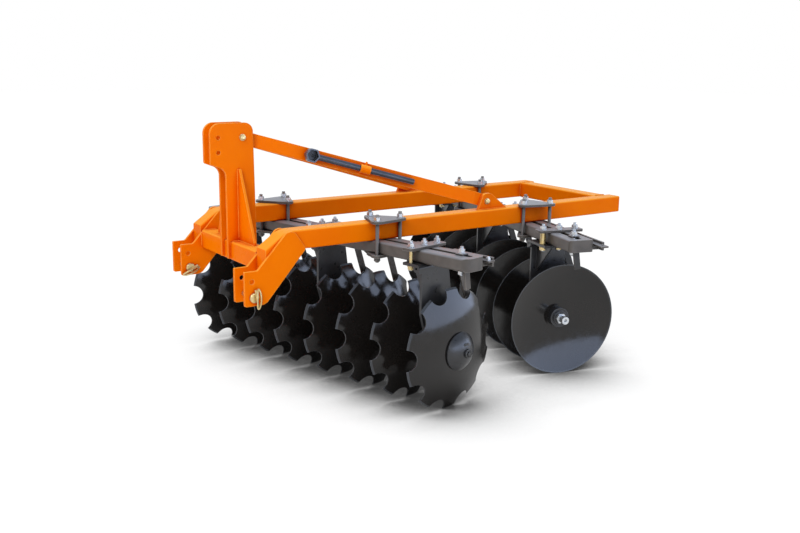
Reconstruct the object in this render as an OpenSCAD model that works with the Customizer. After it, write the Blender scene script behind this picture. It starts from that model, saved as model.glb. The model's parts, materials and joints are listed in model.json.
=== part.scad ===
// Mounted offset disc harrow: two angled disc gangs under a box-section frame with a hitch mast.
// Units are millimetres; +X is the way of travel, +Y is the left side, +Z is up; discs stand on Z 0.

/* [Discs] */
// diameter of every disc
disc_d = 560; // [520:5:600]
// thickness of the disc plate
disc_t = 5; // [4:0.5:8]
// depth of the dish, from the rim to the flat centre
disc_dish = 62; // [50:1:75]
// distance between two discs on an axle
disc_pitch = 226; // [216:1:240]
// discs on one axle
disc_n = 8; // [7:1:9]
// notches around a front disc
notch_n = 10; // [8:1:12]
// diameter of the round notch
notch_d = 100; // [70:1:110]
// side of the square axle bar
axle_w = 30; // [25:1:36]

/* [Gangs] */
// front gang angle across the way of travel
front_angle = 11.5; // [8:0.5:14]
// rear gang angle across the way of travel
rear_angle = 16; // [12:0.5:18]
// front axle line where it crosses the middle of the frame
front_gang_x = 430; // [400:5:460]
// rear axle line where it crosses the middle of the frame
rear_gang_x = -675; // [-710:5:-640]
// front gang moved sideways along its axle
front_shift = 5; // [-40:5:40]
// rear gang moved sideways along its axle
rear_shift = -185; // [-220:5:-150]
// gang beam length
gang_beam_l = 1860; // [1760:10:1900]
// gang beam width, both bars and the slot
gang_beam_w = 126; // [116:1:138]
// gang beam height
gang_beam_h = 58; // [50:1:65]
// slot between the two bars of a gang beam
slot_w = 30; // [24:1:36]
// gang beam ahead of the axle
beam_lead = 60; // [45:1:70]

/* [Frame] */
// side of the square frame tube
tube = 85; // [76:1:92]
// corner radius of the frame tube
tube_r = 8; // [4:0.5:14]
// outside width over the two side beams
frame_w = 772; // [740:2:800]
// height of the side beams' top face
frame_z = 820; // [800:5:850]
// rear end of the side beams
rear_x = -1127; // [-1150:1:-1110]
// where the side beams bend down in front
bend_x = 918; // [905:1:930]
// slope of the bent front ends
bend_angle = 35; // [31:1:38]
// rear cross-beam in from the beam ends
rear_inset = 24; // [0:1:60]

/* [Hitch] */
// front face of the front cross-beam
cross_x = 1020; // [1015:1:1030]
// underside of the front cross-beam
cross_z = 642; // [630:1:650]
// thickness of the hitch plates
plate_t = 12; // [10:1:16]
// clear gap between the two mast plates
mast_gap = 56; // [52:1:70]
// top of the mast
mast_top = 1260; // [1230:5:1290]
// top link bore diameter
top_bore_d = 19.5; // [19.3:0.1:22]
// lower link bore diameter
low_bore_d = 22.5; // [22.3:0.1:26]
// height of the open lower link bore
low_bore_z = 621; // [612:1:626]

/* [Hidden] */
$fn = 48;
fit = 0.5;
over = 1;
side_y = frame_w / 2;
inner_y = side_y - tube;
beam_under = frame_z - tube;
gang_beam_z = beam_under - gang_beam_h;
disc_r = disc_d / 2;
axle_z = disc_r;
link_lead = 107;
link_front = cross_x + link_lead;
washer_l = 46;
end_cap_l = 9;
end_nut_r = 22;
beam_back = beam_lead - gang_beam_w / 2;
scraper_gap = 43;
bar_t = 10;
scraper_x = beam_back - scraper_gap - bar_t;
end_plate_w = 40;
end_plate_x = scraper_x;
rear_plate_reach = 40;
front_plate_reach = 5;

// columns of the gang table: axle x, angle, shift along the axle, way the convex side faces, then the
// hanger plate, flange tip and strap middle beside a bearing, bolt sleeve radius, end plate reach and
// corner radius of the beam ends
col_x = 0;
col_angle = 1;
col_shift = 2;
col_way = 3;
col_plate = 4;
col_tip = 5;
col_strap = 6;
col_sleeve = 7;
col_reach = 8;
col_corner = 9;
gangs = [[front_gang_x, front_angle, front_shift, 1, 8, -90, -54, 8, front_plate_reach, 36],
         [rear_gang_x, -rear_angle, rear_shift, -1, -67, -256, -205, 14, rear_plate_reach, 18]];

// the footprint reaches from the link plates to the rear discs, and over the ends of the rear gang
rear_reach = (disc_n - 1) / 2 * disc_pitch - rear_shift;
rear_low_x = rear_gang_x - (rear_reach - disc_dish) * sin(rear_angle) - disc_r * cos(rear_angle);
centre_x = (link_front + rear_low_x) / 2;
left_end = (gang_beam_l / 2 + rear_plate_reach) * cos(rear_angle) - end_plate_x * sin(rear_angle);
right_tip = rear_reach + disc_t / 2 + washer_l + end_cap_l;
right_end = -right_tip * cos(rear_angle) - end_nut_r * sin(rear_angle);
centre_y = (left_end + right_end) / 2;

function unit(v) = v / norm(v);
function bend_deg(a, b) = acos(a * b);
function before(p, i) = p[(i + len(p) - 1) % len(p)];
function after(p, i) = p[(i + 1) % len(p)];

// row of outline points with the corners cut back to where their arcs start
function cut_corners(p, r) = [for (i = [0:len(p) - 1])
    let (a = unit(before(p, i) - p[i]), b = unit(after(p, i) - p[i]))
    each (r[i] == 0 ? [p[i]] : [p[i] + a * r[i] / tan(bend_deg(a, b) / 2),
                               p[i] + b * r[i] / tan(bend_deg(a, b) / 2)])];

// centre of the arc at corner i
function arc_centre(p, r, i) =
    let (a = unit(before(p, i) - p[i]), b = unit(after(p, i) - p[i]))
    p[i] + unit(a + b) * r[i] / sin(bend_deg(a, b) / 2);

function is_outer(p, i) =
    let (a = p[i] - before(p, i), b = after(p, i) - p[i])
    a[0] * b[1] - a[1] * b[0] > 0;

// flat outline with a radius for each corner, points given counter-clockwise
module rounded(p, r) difference() {
    union() {
        polygon(cut_corners(p, r));
        for (i = [0:len(p) - 1])
            if (r[i] > 0 && is_outer(p, i)) translate(arc_centre(p, r, i)) circle(r[i]);
    }
    for (i = [0:len(p) - 1])
        if (r[i] > 0 && !is_outer(p, i)) translate(arc_centre(p, r, i)) circle(r[i]);
}

// rectangle about the origin with round corners
module round_rect(w, h, r)
    rounded([[-w / 2, -h / 2], [w / 2, -h / 2], [w / 2, h / 2], [-w / 2, h / 2]], [r, r, r, r]);

// everything is drawn from the frame's middle and then set over the middle of the footprint
module placed() translate([-centre_x, -centre_y, 0]) children();

// outline in X and Z, made into a plate from y to y + t
module side_plate(y, t) translate([0, y + t, 0]) rotate([90, 0, 0]) linear_extrude(t) children();

// cutter for a round hole along Y through the whole frame
module cross_hole(p, r) translate([p[0], 0, p[1]]) rotate([90, 0, 0])
    cylinder(r = r, h = 2 * frame_w, center = true);

// left and right copies
module both() {
    children();
    mirror([0, 1, 0]) children();
}

// gang frame: x ahead of the axle, y along the axle to the left, z up
module at_gang(g) placed() translate([g[col_x], 0, 0]) rotate([0, 0, g[col_angle]]) children();

// the same, mirrored so that the convex sides of the discs face +y
module at_gang_hand(g) at_gang(g) scale_y(g[col_way]) children();
module scale_y(s) {
    if (s < 0) mirror([0, 1, 0]) children();
    else children();
}

function hub_y(g, i) = g[col_shift] + (i - (disc_n - 1) / 2) * disc_pitch;
function gap_y(g, i) = g[col_way] * (hub_y(g, i) + disc_pitch / 2);

// frame tubes

// length of frame tube from the origin along +X, top face at z 0
module tube_x(l) translate([0, 0, -tube / 2]) rotate([90, 0, 90]) linear_extrude(l)
    round_rect(tube, tube, tube_r);
module tube_y(l) rotate([90, 0, 0]) linear_extrude(l, center = true) round_rect(tube, tube, tube_r);

// straight tube with a bent front end welded to it: the bend turns down about a centre under the tube,
// and the sloping end is cut off upright at the front cross-beam's face
bend_in_r = 18;
bend_out_r = bend_in_r + tube;
bend_start = bend_x - bend_out_r * tan(bend_angle / 2);
module side_beam() translate([0, side_y - tube / 2, 0]) {
    slope_l = (cross_x - bend_start) / cos(bend_angle) + tube;
    translate([rear_x, 0, frame_z]) tube_x(bend_start - rear_x);
    translate([bend_start, 0, frame_z - bend_out_r]) difference() {
        union() {
            rotate([90, 0, 0]) rotate([0, 0, 90 - bend_angle]) rotate_extrude(angle = bend_angle)
                translate([bend_out_r - tube / 2, 0]) round_rect(tube, tube, tube_r);
            rotate([0, bend_angle, 0]) translate([0, 0, bend_out_r]) tube_x(slope_l);
        }
        translate([cross_x - bend_start, -tube, -frame_z]) cube([slope_l, 2 * tube, 2 * frame_z]);
    }
}
module side_beam_left() color("orange") placed() side_beam();
module side_beam_right() color("orange") placed() mirror([0, 1, 0]) side_beam();

module front_cross_beam() color("orange") placed()
    translate([cross_x - tube / 2, 0, cross_z + tube / 2]) tube_y(2 * (inner_y - plate_t));

module rear_cross_beam() color("orange") placed()
    translate([rear_x + rear_inset + tube / 2, 0, beam_under + tube / 2]) tube_y(2 * inner_y);

// hitch mast

mast_lap = 14;
mast_tail = 46;
mast_foot = 8;
nose_lead = 87;
nose_h = 180;
nose_step = 28;
top_bore_lead = 48;
top_bore_drops = [63, 129];
brace_pin_back = 69;
brace_pin_drop = 65;
brace_pin_r = 10;
mast_leg_x = cross_x + mast_lap;
mast_back_x = cross_x - tube - mast_tail;
nose_x = cross_x + nose_lead;
nose_low = mast_top - nose_h;
brace_pin = [cross_x - brace_pin_back, mast_top - brace_pin_drop];
mast_lean = 10;
mast_radii = [20, 0, 45, 10, 48, 40];

module mast_plate() difference() {
    side_plate(mast_gap / 2, plate_t)
        rounded([[mast_back_x, cross_z + mast_foot], [mast_leg_x, cross_z + mast_foot],
                 [mast_leg_x, nose_low - nose_step], [nose_x, nose_low], [nose_x, mast_top],
                 [mast_back_x + mast_lean, mast_top]], mast_radii);
    translate([cross_x - tube, 0, cross_z]) cube([tube, mast_gap, tube]);
    for (d = top_bore_drops) cross_hole([cross_x + top_bore_lead, mast_top - d], top_bore_d / 2);
    cross_hole(brace_pin, brace_pin_r + fit);
}
module mast_plate_left() color("orange") placed() mast_plate();
module mast_plate_right() color("orange") placed() mirror([0, 1, 0]) mast_plate();

gusset_back = 48;
gusset_drop = 205;
gusset_reach = 150;
gusset_lip = 14;
module mast_gussets() color("orange") placed() both()
    translate([cross_x - gusset_back - plate_t / 2, mast_gap / 2 + plate_t, cross_z + tube])
        rotate([90, 0, 90]) linear_extrude(plate_t)
            polygon([[0, 0], [gusset_reach, 0], [gusset_reach, gusset_lip],
                     [gusset_lip, mast_top - gusset_drop - cross_z - tube],
                     [0, mast_top - gusset_drop - cross_z - tube]]);

// lower link brackets

low_bore_lead = 72;
low_pin_lead = 64;
low_pin_drop = 69;
low_pin_r = 11;
pin_head_r = 22;
pin_head_t = 10;
pin_head_edge = 2;
pin_head_dome = 5;
pin_tail = 14;
link_drop = 106;
link_rise = 45;
link_step = 45;
link_shoulder = 95;
link_crest = 130;
link_back = 190;
link_heel = 8;
link_back_rise = 117;
link_top_drop = 5;
link_radii = [45, 8, 4, 14, 20, 30, 14];
low_pin = [cross_x + low_pin_lead, low_bore_z - low_pin_drop];

module link_plate(y) difference() {
    foot = low_bore_z - link_drop;
    nose = low_bore_z + link_rise;
    top = frame_z - link_top_drop;
    side_plate(y, plate_t)
        rounded([[cross_x + link_heel, foot], [link_front, foot], [link_front, nose],
                 [cross_x + link_step, nose], [cross_x - link_shoulder, top],
                 [cross_x - link_crest, top + link_heel],
                 [cross_x - link_back, low_bore_z + link_back_rise]], link_radii);
    cross_hole([cross_x + low_bore_lead, low_bore_z], low_bore_d / 2);
    cross_hole(low_pin, low_pin_r + fit);
}
module link_plates() {
    link_plate(side_y);
    link_plate(inner_y - plate_t);
}
module link_plates_left() color("orange") placed() link_plates();
module link_plates_right() color("orange") placed() mirror([0, 1, 0]) link_plates();

// pin through a pair of plates that starts at y; both pins are put in from the left, heads to the left
module link_pin(y) translate([low_pin[0], y - pin_tail, low_pin[1]]) rotate([-90, 0, 0]) {
    shank = tube + 2 * plate_t + pin_tail;
    cylinder(r = low_pin_r, h = shank);
    translate([0, 0, shank]) rotate_extrude() rounded([[0, 0], [pin_head_r, 0], [pin_head_r, pin_head_t],
        [0, pin_head_t]], [0, pin_head_edge, pin_head_dome, 0]);
}
module link_pin_left() color("khaki") placed() link_pin(inner_y - plate_t);
module link_pin_right() color("khaki") placed() link_pin(-side_y - plate_t);

// braces

lug_x = -211;
lug_rise = 40;
lug_bolt = [lug_x, frame_z + lug_rise];
lug_t = 16;
lug_y = side_y - tube / 2;
lug_back = 127;
lug_front = 53;
lug_nose = 20;
lug_h = 78;
lug_r = 25;
brace_h = 62;
brace_t = 15;
brace_gap = 6;
brace_clear = 14;
lug_eye_l = 70;
bolt_head_r = 14;
bolt_head_t = 10;
brace_start = [brace_pin[0], (brace_gap + brace_t) / 2, brace_pin[1]];
brace_end = [lug_bolt[0], lug_y - brace_t / 2, lug_bolt[1]];
brace_run = norm([brace_start[0] - brace_end[0], brace_start[2] - brace_end[2]]);
brace_slope = atan2(brace_start[2] - brace_end[2], brace_start[0] - brace_end[0]);
mast_eye_l = (brace_pin[0] - mast_back_x + brace_clear) / cos(brace_slope);
brace_shift = brace_end[1] - brace_start[1];
brace_yaw = atan2(brace_shift, brace_run - mast_eye_l - lug_eye_l);

// brace frame: x back along the bar's slope from the mast pin, y to the left, z across the bar
module along_brace() translate(brace_start) rotate([0, -brace_slope, 0]) mirror([1, 0, 0]) children();

// flat bar bent sideways behind the mast and again ahead of its lug
module brace() {
    half = brace_t / 2;
    cut = half * tan(brace_yaw / 2);
    far = brace_run - lug_eye_l;
    along_brace() difference() {
        union() {
            translate([0, 0, -brace_h / 2]) linear_extrude(brace_h)
                polygon([[0, -half], [mast_eye_l + cut, -half], [far + cut, brace_shift - half],
                         [brace_run, brace_shift - half], [brace_run, brace_shift + half],
                         [far - cut, brace_shift + half], [mast_eye_l - cut, half], [0, half]]);
            for (e = [[0, 0], [brace_run, brace_shift]]) translate([e[0], e[1], 0]) rotate([90, 0, 0])
                cylinder(r = brace_h / 2, h = brace_t, center = true);
        }
        for (x = [0, brace_run]) translate([x, 0, 0]) rotate([-90, 0, 0])
            cylinder(r = brace_pin_r + fit, h = frame_w, center = true);
    }
}
module brace_left() color("orange") placed() brace();
module brace_right() color("orange") placed() mirror([0, 1, 0]) brace();

module brace_lugs() color("orange") placed() both() difference() {
    side_plate(lug_y, lug_t)
        rounded([[lug_x - lug_back, frame_z], [lug_x + lug_front, frame_z],
                 [lug_x + lug_nose, frame_z + lug_h], [lug_x - lug_r, frame_z + lug_h]],
                [0, 0, lug_r, lug_r]);
    cross_hole(lug_bolt, brace_pin_r + fit);
}

module cross_bolt(p, y0, y1) translate([p[0], y0, p[1]]) rotate([-90, 0, 0]) {
    cylinder(r = brace_pin_r, h = y1 - y0);
    translate([0, 0, -bolt_head_t]) cylinder(r = bolt_head_r, h = bolt_head_t, $fn = 6);
    translate([0, 0, y1 - y0]) cylinder(r = bolt_head_r, h = bolt_head_t, $fn = 6);
}
module brace_bolts() color("silver") placed() {
    cross_bolt(brace_pin, -mast_gap / 2 - plate_t, mast_gap / 2 + plate_t);
    both() cross_bolt(lug_bolt, lug_y - brace_t, lug_y + lug_t);
}

// spanner stowed on the left brace

spanner_r = 14;
spanner_off = 7;
spanner_at = 340;
spanner_l = 516;
socket_r = 33;
socket_round = 2;
socket_neck_r = 24;
socket_l = 66;
socket_hex_r = 27;
socket_hex_l = 36;
holder_at = 608;
holder_l = 50;
holder_r = 20;
set_bolt_r = 5;
set_bolt_l = 16;

// frame on the outer face of the slanting part of the left brace: x back along it, z out of it
module on_brace(d) along_brace() translate([mast_eye_l, 0, 0]) rotate([0, 0, brace_yaw])
    translate([d - mast_eye_l, brace_t / 2, 0]) rotate([-90, 0, 0]) children();

// sleeve on a foot, with a set bolt on its upper side
module holder_ring() {
    axis_z = spanner_r + spanner_off;
    difference() {
        union() {
            translate([0, 0, axis_z]) rotate([0, 90, 0]) cylinder(r = holder_r, h = holder_l, center = true);
            translate([-holder_l / 2, -spanner_r, fit / 2]) cube([holder_l, 2 * spanner_r, axis_z - fit / 2]);
            translate([0, -holder_r - set_bolt_l, axis_z]) rotate([-90, 0, 0])
                cylinder(r = set_bolt_r, h = set_bolt_l + set_bolt_r);
        }
        translate([0, 0, axis_z]) rotate([0, 90, 0])
            cylinder(r = spanner_r + fit, h = 2 * holder_l, center = true);
    }
}
module spanner_holder() color("orange") placed() on_brace(holder_at) holder_ring();

// bent wheel spanner: round bar, neck and six-sided socket that opens away from the brace
module spanner() color("dimgray") placed() on_brace(spanner_at) {
    translate([0, 0, spanner_r + spanner_off]) rotate([0, 90, 0]) cylinder(r = spanner_r, h = spanner_l);
    translate([0, 0, spanner_off / 2]) difference() {
        union() {
            cylinder(r = socket_neck_r, h = socket_l / 2);
            intersection() {
                translate([0, 0, socket_l / 2 - socket_hex_l / 3])
                    cylinder(r = socket_r + socket_round, h = socket_l, $fn = 6);
                cylinder(r = socket_r, h = socket_l);
            }
        }
        translate([0, 0, socket_l - socket_hex_l]) cylinder(r = socket_hex_r, h = 2 * socket_hex_l, $fn = 6);
    }
}

// gang beams: two bars with a slot between them, closed at the rounded ends

beam_edge_r = 9;
slot_end = 30;
module gang_beam(g) color("dimgray") at_gang(g) translate([beam_lead, 0, gang_beam_z]) difference() {
    intersection() {
        linear_extrude(gang_beam_h) round_rect(gang_beam_w, gang_beam_l, g[col_corner]);
        translate([0, 0, gang_beam_h / 2]) rotate([90, 0, 0]) linear_extrude(gang_beam_l, center = true)
            round_rect(gang_beam_w, gang_beam_h, beam_edge_r);
    }
    translate([0, 0, -over]) linear_extrude(gang_beam_h + 2 * over)
        round_rect(slot_w, gang_beam_l - 2 * slot_end, slot_w / 4);
}
module front_gang_beam() gang_beam(gangs[0]);
module rear_gang_beam() gang_beam(gangs[1]);

// clamps that hold the gang beams under the side beams

clamp_t = 12;
clamp_rim = 27;
rod_r = 9;
rod_gap = 1.5;
rod_off = rod_r + rod_gap;
nut_h = 15;
nut_r = 15;
nut_washer_r = 17;
nut_washer_t = 3;
tip_l = 11;

// rods of the clamp on side s, in the gang's frame: two outside the side beam, one through the slot
function clamp_rods(g, s) =
    let (h = gang_beam_w / 2 + rod_off, k = s * sin(g[col_angle]), c = cos(g[col_angle]),
         out = (side_y + rod_off - min(k * (beam_lead - h), k * (beam_lead + h))) / c,
         in = (inner_y - rod_off - k * beam_lead) / c)
    [[beam_lead + h, s * out], [beam_lead, s * in], [beam_lead - h, s * out]];

// triangle with a round corner about each rod
module clamp_outline(p) {
    turn = (p[1] - p[0])[0] * (p[2] - p[1])[1] > (p[1] - p[0])[1] * (p[2] - p[1])[0] ? 1 : -1;
    polygon([for (i = [0:2]) let (d = unit(after(p, i) - p[i]), n = turn * [d[1], -d[0]])
        each [p[i] + clamp_rim * n, after(p, i) + clamp_rim * n]]);
    for (c = p) translate(c) circle(clamp_rim);
}
module clamp_plates(g) color("dimgray") at_gang(g) for (s = [-1, 1], z = [frame_z, gang_beam_z - clamp_t])
    translate([0, 0, z]) difference() {
        linear_extrude(clamp_t) clamp_outline(clamp_rods(g, s));
        for (c = clamp_rods(g, s)) translate([c[0], c[1], -over])
            cylinder(r = rod_r + fit, h = clamp_t + 2 * over);
    }
module front_clamp_plates() clamp_plates(gangs[0]);
module rear_clamp_plates() clamp_plates(gangs[1]);

// rod from z0 to z1 with a washer, nut and thread tip past each end
module tie_rod(r, z0, z1) {
    translate([0, 0, z0 - nut_washer_t - nut_h - tip_l / 2])
        cylinder(r = r, h = z1 - z0 + 2 * (nut_washer_t + nut_h) + tip_l * 1.5);
    for (z = [z0 - nut_washer_t, z1]) translate([0, 0, z]) cylinder(r = nut_washer_r, h = nut_washer_t);
    for (z = [z0 - nut_washer_t - nut_h, z1 + nut_washer_t]) translate([0, 0, z])
        cylinder(r = nut_r, h = nut_h, $fn = 6);
}
module clamp_rod_set(g) color("silver") at_gang(g) for (s = [-1, 1]) for (c = clamp_rods(g, s))
    translate([c[0], c[1], 0]) tie_rod(rod_r, gang_beam_z - clamp_t, frame_z + clamp_t);
module front_clamp_rods() clamp_rod_set(gangs[0]);
module rear_clamp_rods() clamp_rod_set(gangs[1]);

// bearing hangers

bearing_gaps = [0, floor((disc_n - 1) / 2), disc_n - 2];
hanger_t = 12;
hanger_bend_r = 18;
hanger_lip = 36;
hanger_half = gang_beam_w / 2 + hanger_lip;
hanger_front = 140;
hanger_skirt = 40;
hanger_ring_r = 85;
hanger_shoulder = 170;
web_t = 10;
web_h = 150;
web_off = 42;
journal_r = 38;
barrel_r = 62;
barrel_l = 76;
barrel_rim = 12;
barrel_rim_t = 14;
strap_w = 62;
strap_r = 12;
strap_lip = 54;
bolt_lip = 22;
strap_half = gang_beam_w / 2 + strap_lip;
bolt_off = gang_beam_w / 2 + bolt_lip;
bolt_r = 8;
strap_bolts = [-bolt_off, 0, bolt_off];

module at_bearings(g) at_gang_hand(g) for (i = bearing_gaps) translate([0, gap_y(g, i), 0]) children();

// outline of the hanger seen along the axle
module hanger_side() {
    polygon([[beam_lead - hanger_half, gang_beam_z], [beam_lead - hanger_half, gang_beam_z - hanger_skirt],
             [-hanger_ring_r, axle_z + hanger_ring_r / 2], [-hanger_ring_r, axle_z], [hanger_ring_r, axle_z],
             [hanger_front, axle_z + hanger_shoulder], [hanger_front, gang_beam_z - hanger_skirt],
             [beam_lead + hanger_half, gang_beam_z - hanger_skirt], [beam_lead + hanger_half, gang_beam_z]]);
    translate([0, axle_z]) circle(hanger_ring_r);
}
// bent plate: plate beside the bearing, flange under the gang beam
module hanger(g) {
    face = g[col_plate];
    back = face - hanger_t;
    low = axle_z - hanger_ring_r;
    difference() {
        intersection() {
            translate([-hanger_half, 0, 0]) rotate([90, 0, 90]) linear_extrude(3 * hanger_half)
                rounded([[back, low - over], [face, low - over], [face, gang_beam_z],
                         [g[col_tip], gang_beam_z], [g[col_tip], gang_beam_z - hanger_t],
                         [back, gang_beam_z - hanger_t]],
                        [0, 0, hanger_bend_r, 0, 0, hanger_bend_r - hanger_t]);
            translate([0, face, 0]) rotate([90, 0, 0]) linear_extrude(face - g[col_tip]) hanger_side();
        }
        translate([0, 0, axle_z]) rotate([90, 0, 0])
            cylinder(r = barrel_r, h = 2 * disc_pitch, center = true);
        for (x = strap_bolts) translate([beam_lead + x, g[col_strap], gang_beam_z - hanger_t - over])
            cylinder(r = bolt_r + fit, h = hanger_t + 2 * over);
    }
    translate([beam_lead + web_off, 0, gang_beam_z - hanger_t]) rotate([90, 0, 90]) linear_extrude(web_t)
        polygon([[back, 0], [back, -web_h], [g[col_tip] + hanger_bend_r, 0]]);
}
module front_hangers() color("dimgray") at_bearings(gangs[0]) hanger(gangs[0]);
module rear_hangers() color("dimgray") at_bearings(gangs[1]) hanger(gangs[1]);

module strap(g) translate([beam_lead, g[col_strap], beam_under]) linear_extrude(hanger_t) difference() {
    round_rect(2 * strap_half, strap_w, strap_r);
    for (x = strap_bolts) translate([x, 0]) circle(bolt_r + fit);
}
module front_straps() color("dimgray") at_bearings(gangs[0]) strap(gangs[0]);
module rear_straps() color("dimgray") at_bearings(gangs[1]) strap(gangs[1]);

// bolts beside the beam carry spacer sleeves, the middle one passes the slot
module strap_bolt_set(g) for (x = strap_bolts) translate([beam_lead + x, g[col_strap], 0]) {
    tie_rod(bolt_r, gang_beam_z - hanger_t, beam_under + hanger_t);
    if (x != 0) translate([0, 0, gang_beam_z]) cylinder(r = g[col_sleeve], h = gang_beam_h);
}
module front_strap_bolts() color("silver") at_bearings(gangs[0]) strap_bolt_set(gangs[0]);
module rear_strap_bolts() color("silver") at_bearings(gangs[1]) strap_bolt_set(gangs[1]);

// the housing's rim lies against the hanger plate: below it on the front gang, above it on the rear
function housing_y(g) = g[col_way] > 0 ? g[col_plate] - hanger_t - barrel_l : g[col_plate];
module housing(g) translate([0, housing_y(g), axle_z]) rotate([-90, 0, 0]) difference() {
    union() {
        cylinder(r = barrel_r, h = barrel_l);
        for (z = [0, barrel_l - barrel_rim_t]) translate([0, 0, z])
            cylinder(r = barrel_r + barrel_rim, h = barrel_rim_t);
    }
    translate([0, 0, -over]) cylinder(r = journal_r + fit, h = barrel_l + 2 * over);
}
module front_housings() color("dimgray") at_bearings(gangs[0]) housing(gangs[0]);
module rear_housings() color("dimgray") at_bearings(gangs[1]) housing(gangs[1]);

// bolts through the slot at the beam ends, each with a square washer and an arm under the beam

end_bolt_in = 84;
end_washer_w = 42;
end_washer_t = 8;
arm_w = 30;
arm_t = 10;
arm_l = 92;
arm_lean = 8;
arm_off = 27;
arm_foot = 50;
end_hole_r = 7;
end_plate_t = 8;
end_plate_l = 130;
function end_bolt_y(s) = s * (gang_beam_l / 2 - end_bolt_in);

module end_bolts(g) color("silver") at_gang(g) for (s = [-1, 1]) translate([beam_lead, end_bolt_y(s), 0]) {
    tie_rod(bolt_r, gang_beam_z - arm_t, beam_under + end_washer_t);
    translate([-end_washer_w / 2, -end_washer_w / 2, beam_under])
        cube([end_washer_w, end_washer_w, end_washer_t]);
}
module front_end_bolts() end_bolts(gangs[0]);
module rear_end_bolts() end_bolts(gangs[1]);

// arm that hangs from the end bolt, bent down outside the bolt
module end_arm(s) {
    difference() {
        scale_y(s) translate([-arm_foot / 2, -arm_foot / 2, -arm_t])
            cube([arm_foot, arm_foot / 2 + arm_off + arm_t / 2, arm_t]);
        translate([0, 0, -arm_t - over]) cylinder(r = bolt_r + fit, h = arm_t + 2 * over);
    }
    translate([0, s * arm_off, 0]) rotate([0, arm_lean, 0])
        translate([-arm_w / 2, -arm_t / 2, -arm_l]) cube([arm_w, arm_t, arm_l - arm_t / 2]);
}

// scrapers

scraper_rise = 4;
scraper_z = gang_beam_z + scraper_rise;
bar_h = 40;
stalk_back = 84;
stalk_w = 34;
stalk_t = 8;
foot_t = 16;
stalk_in = 20;
stalk_up = 9;
blade_x = -165;
blade_rise = 150;
blade_w = 112;
blade_h = 90;
blade_t = 6;
blade_turn = 22;
blade_lap = 14;
blade_hang = 70;
bracket_w = 50;
bracket_in = 55;

// bar behind the gang beam, its end brackets and its end plates with a hole
module scraper_bar(g) color("dimgray") at_gang(g) {
    half = gang_beam_l / 2;
    translate([scraper_x, -half, scraper_z]) cube([bar_t, gang_beam_l, bar_h]);
    for (s = [-1, 1]) {
        translate([scraper_x + bar_t, s * (half - bracket_in) - bracket_w / 2, scraper_z])
            cube([scraper_gap, bracket_w, bar_h / 2]);
        scale_y(s) translate([end_plate_x, half + g[col_reach], scraper_z + bar_h / 2]) difference() {
            translate([0, -end_plate_l, 0]) cube([end_plate_w, end_plate_l, end_plate_t]);
            translate([end_plate_w / 2, -end_plate_w / 2, -over])
                cylinder(r = end_hole_r, h = 2 * end_plate_t);
        }
    }
}
module front_scraper_bar() scraper_bar(gangs[0]);
module rear_scraper_bar() scraper_bar(gangs[1]);

stalk_top = [scraper_x - stalk_in, scraper_z + stalk_up];
stalk_run = [blade_x, axle_z + blade_rise] - stalk_top;
stalk_lean = atan2(stalk_run[0], stalk_run[1]);
module scraper() {
    translate([scraper_x - foot_t, -stalk_back - stalk_w / 2, scraper_z]) cube([foot_t, stalk_w, bar_h]);
    translate([stalk_top[0], -stalk_back, stalk_top[1]]) rotate([0, stalk_lean, 0]) {
        translate([-stalk_w / 2, -stalk_t / 2, 0]) cube([stalk_w, stalk_t, norm(stalk_run) + stalk_in]);
        translate([0, 0, norm(stalk_run) - blade_hang]) rotate([0, 0, -blade_turn])
            translate([blade_lap - blade_w, -blade_t / 2, 0]) cube([blade_w, blade_t, blade_h]);
    }
}
// every disc has a scraper on its hollow side but the one at the hollow end of the gang
function scraped(g) = g[col_way] > 0 ? [1:disc_n - 1] : [0:disc_n - 2];
module scrapers(g) color("dimgray") {
    at_gang_hand(g) for (i = scraped(g)) translate([0, g[col_way] * hub_y(g, i), 0]) scraper();
    at_gang(g) for (s = [-1, 1]) translate([beam_lead, end_bolt_y(s), gang_beam_z]) end_arm(s);
}
module front_scrapers() scrapers(gangs[0]);
module rear_scrapers() scrapers(gangs[1]);

// turning gangs: dished discs with a ground rim, spools between them, square axle

sphere_r = (disc_r * disc_r + disc_dish * disc_dish) / (2 * disc_dish);
flat_r = 60;
flat_drop = sphere_r - sqrt(sphere_r * sphere_r - flat_r * flat_r);
dish_centre = flat_drop + disc_t / 2 - sphere_r;
rim_grind = 7;
rim_edge = 1.2;
function dish_z(r, x) = dish_centre + sqrt(r * r - x * x);

module disc_profile() difference() {
    intersection() {
        translate([0, dish_centre]) circle(sphere_r);
        translate([0, -2 * disc_dish]) square([disc_r, 2 * disc_dish + disc_t / 2]);
    }
    intersection() {
        translate([0, dish_centre]) circle(sphere_r - disc_t);
        translate([-over, -3 * disc_dish]) square([disc_r + 2 * over, 3 * disc_dish - disc_t / 2]);
    }
    rim_z = dish_z(sphere_r - disc_t, disc_r) + rim_edge;
    polygon([[disc_r - rim_grind, dish_z(sphere_r, disc_r - rim_grind)], [disc_r, rim_z],
             [disc_r + over, rim_z], [disc_r + over, 0], [disc_r - rim_grind, 0]]);
}
module square_hole(l) translate([-axle_w / 2, -axle_w / 2, -l]) cube([axle_w, axle_w, 2 * l]);
module disc(notches) difference() {
    rotate_extrude() disc_profile();
    square_hole(disc_dish);
    if (notches > 0) for (i = [0:notches - 1]) rotate([0, 0, 90 + (i + 0.5) * 360 / notches])
        translate([disc_r + 2, 0, -2 * disc_dish]) cylinder(d = notch_d, h = 4 * disc_dish);
}
// turns a piece drawn along z so that it lies along the axle with its top to +y
module along_axle(g) at_gang_hand(g) translate([0, 0, axle_z]) rotate([-90, 0, 0]) children();

module disc_set(g, notches) along_axle(g)
    for (i = [0:disc_n - 1]) translate([0, 0, g[col_way] * hub_y(g, i)]) disc(notches);
module front_discs() color("black") disc_set(gangs[0], notch_n);
module rear_discs() color("black") disc_set(gangs[1], 0);

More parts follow.
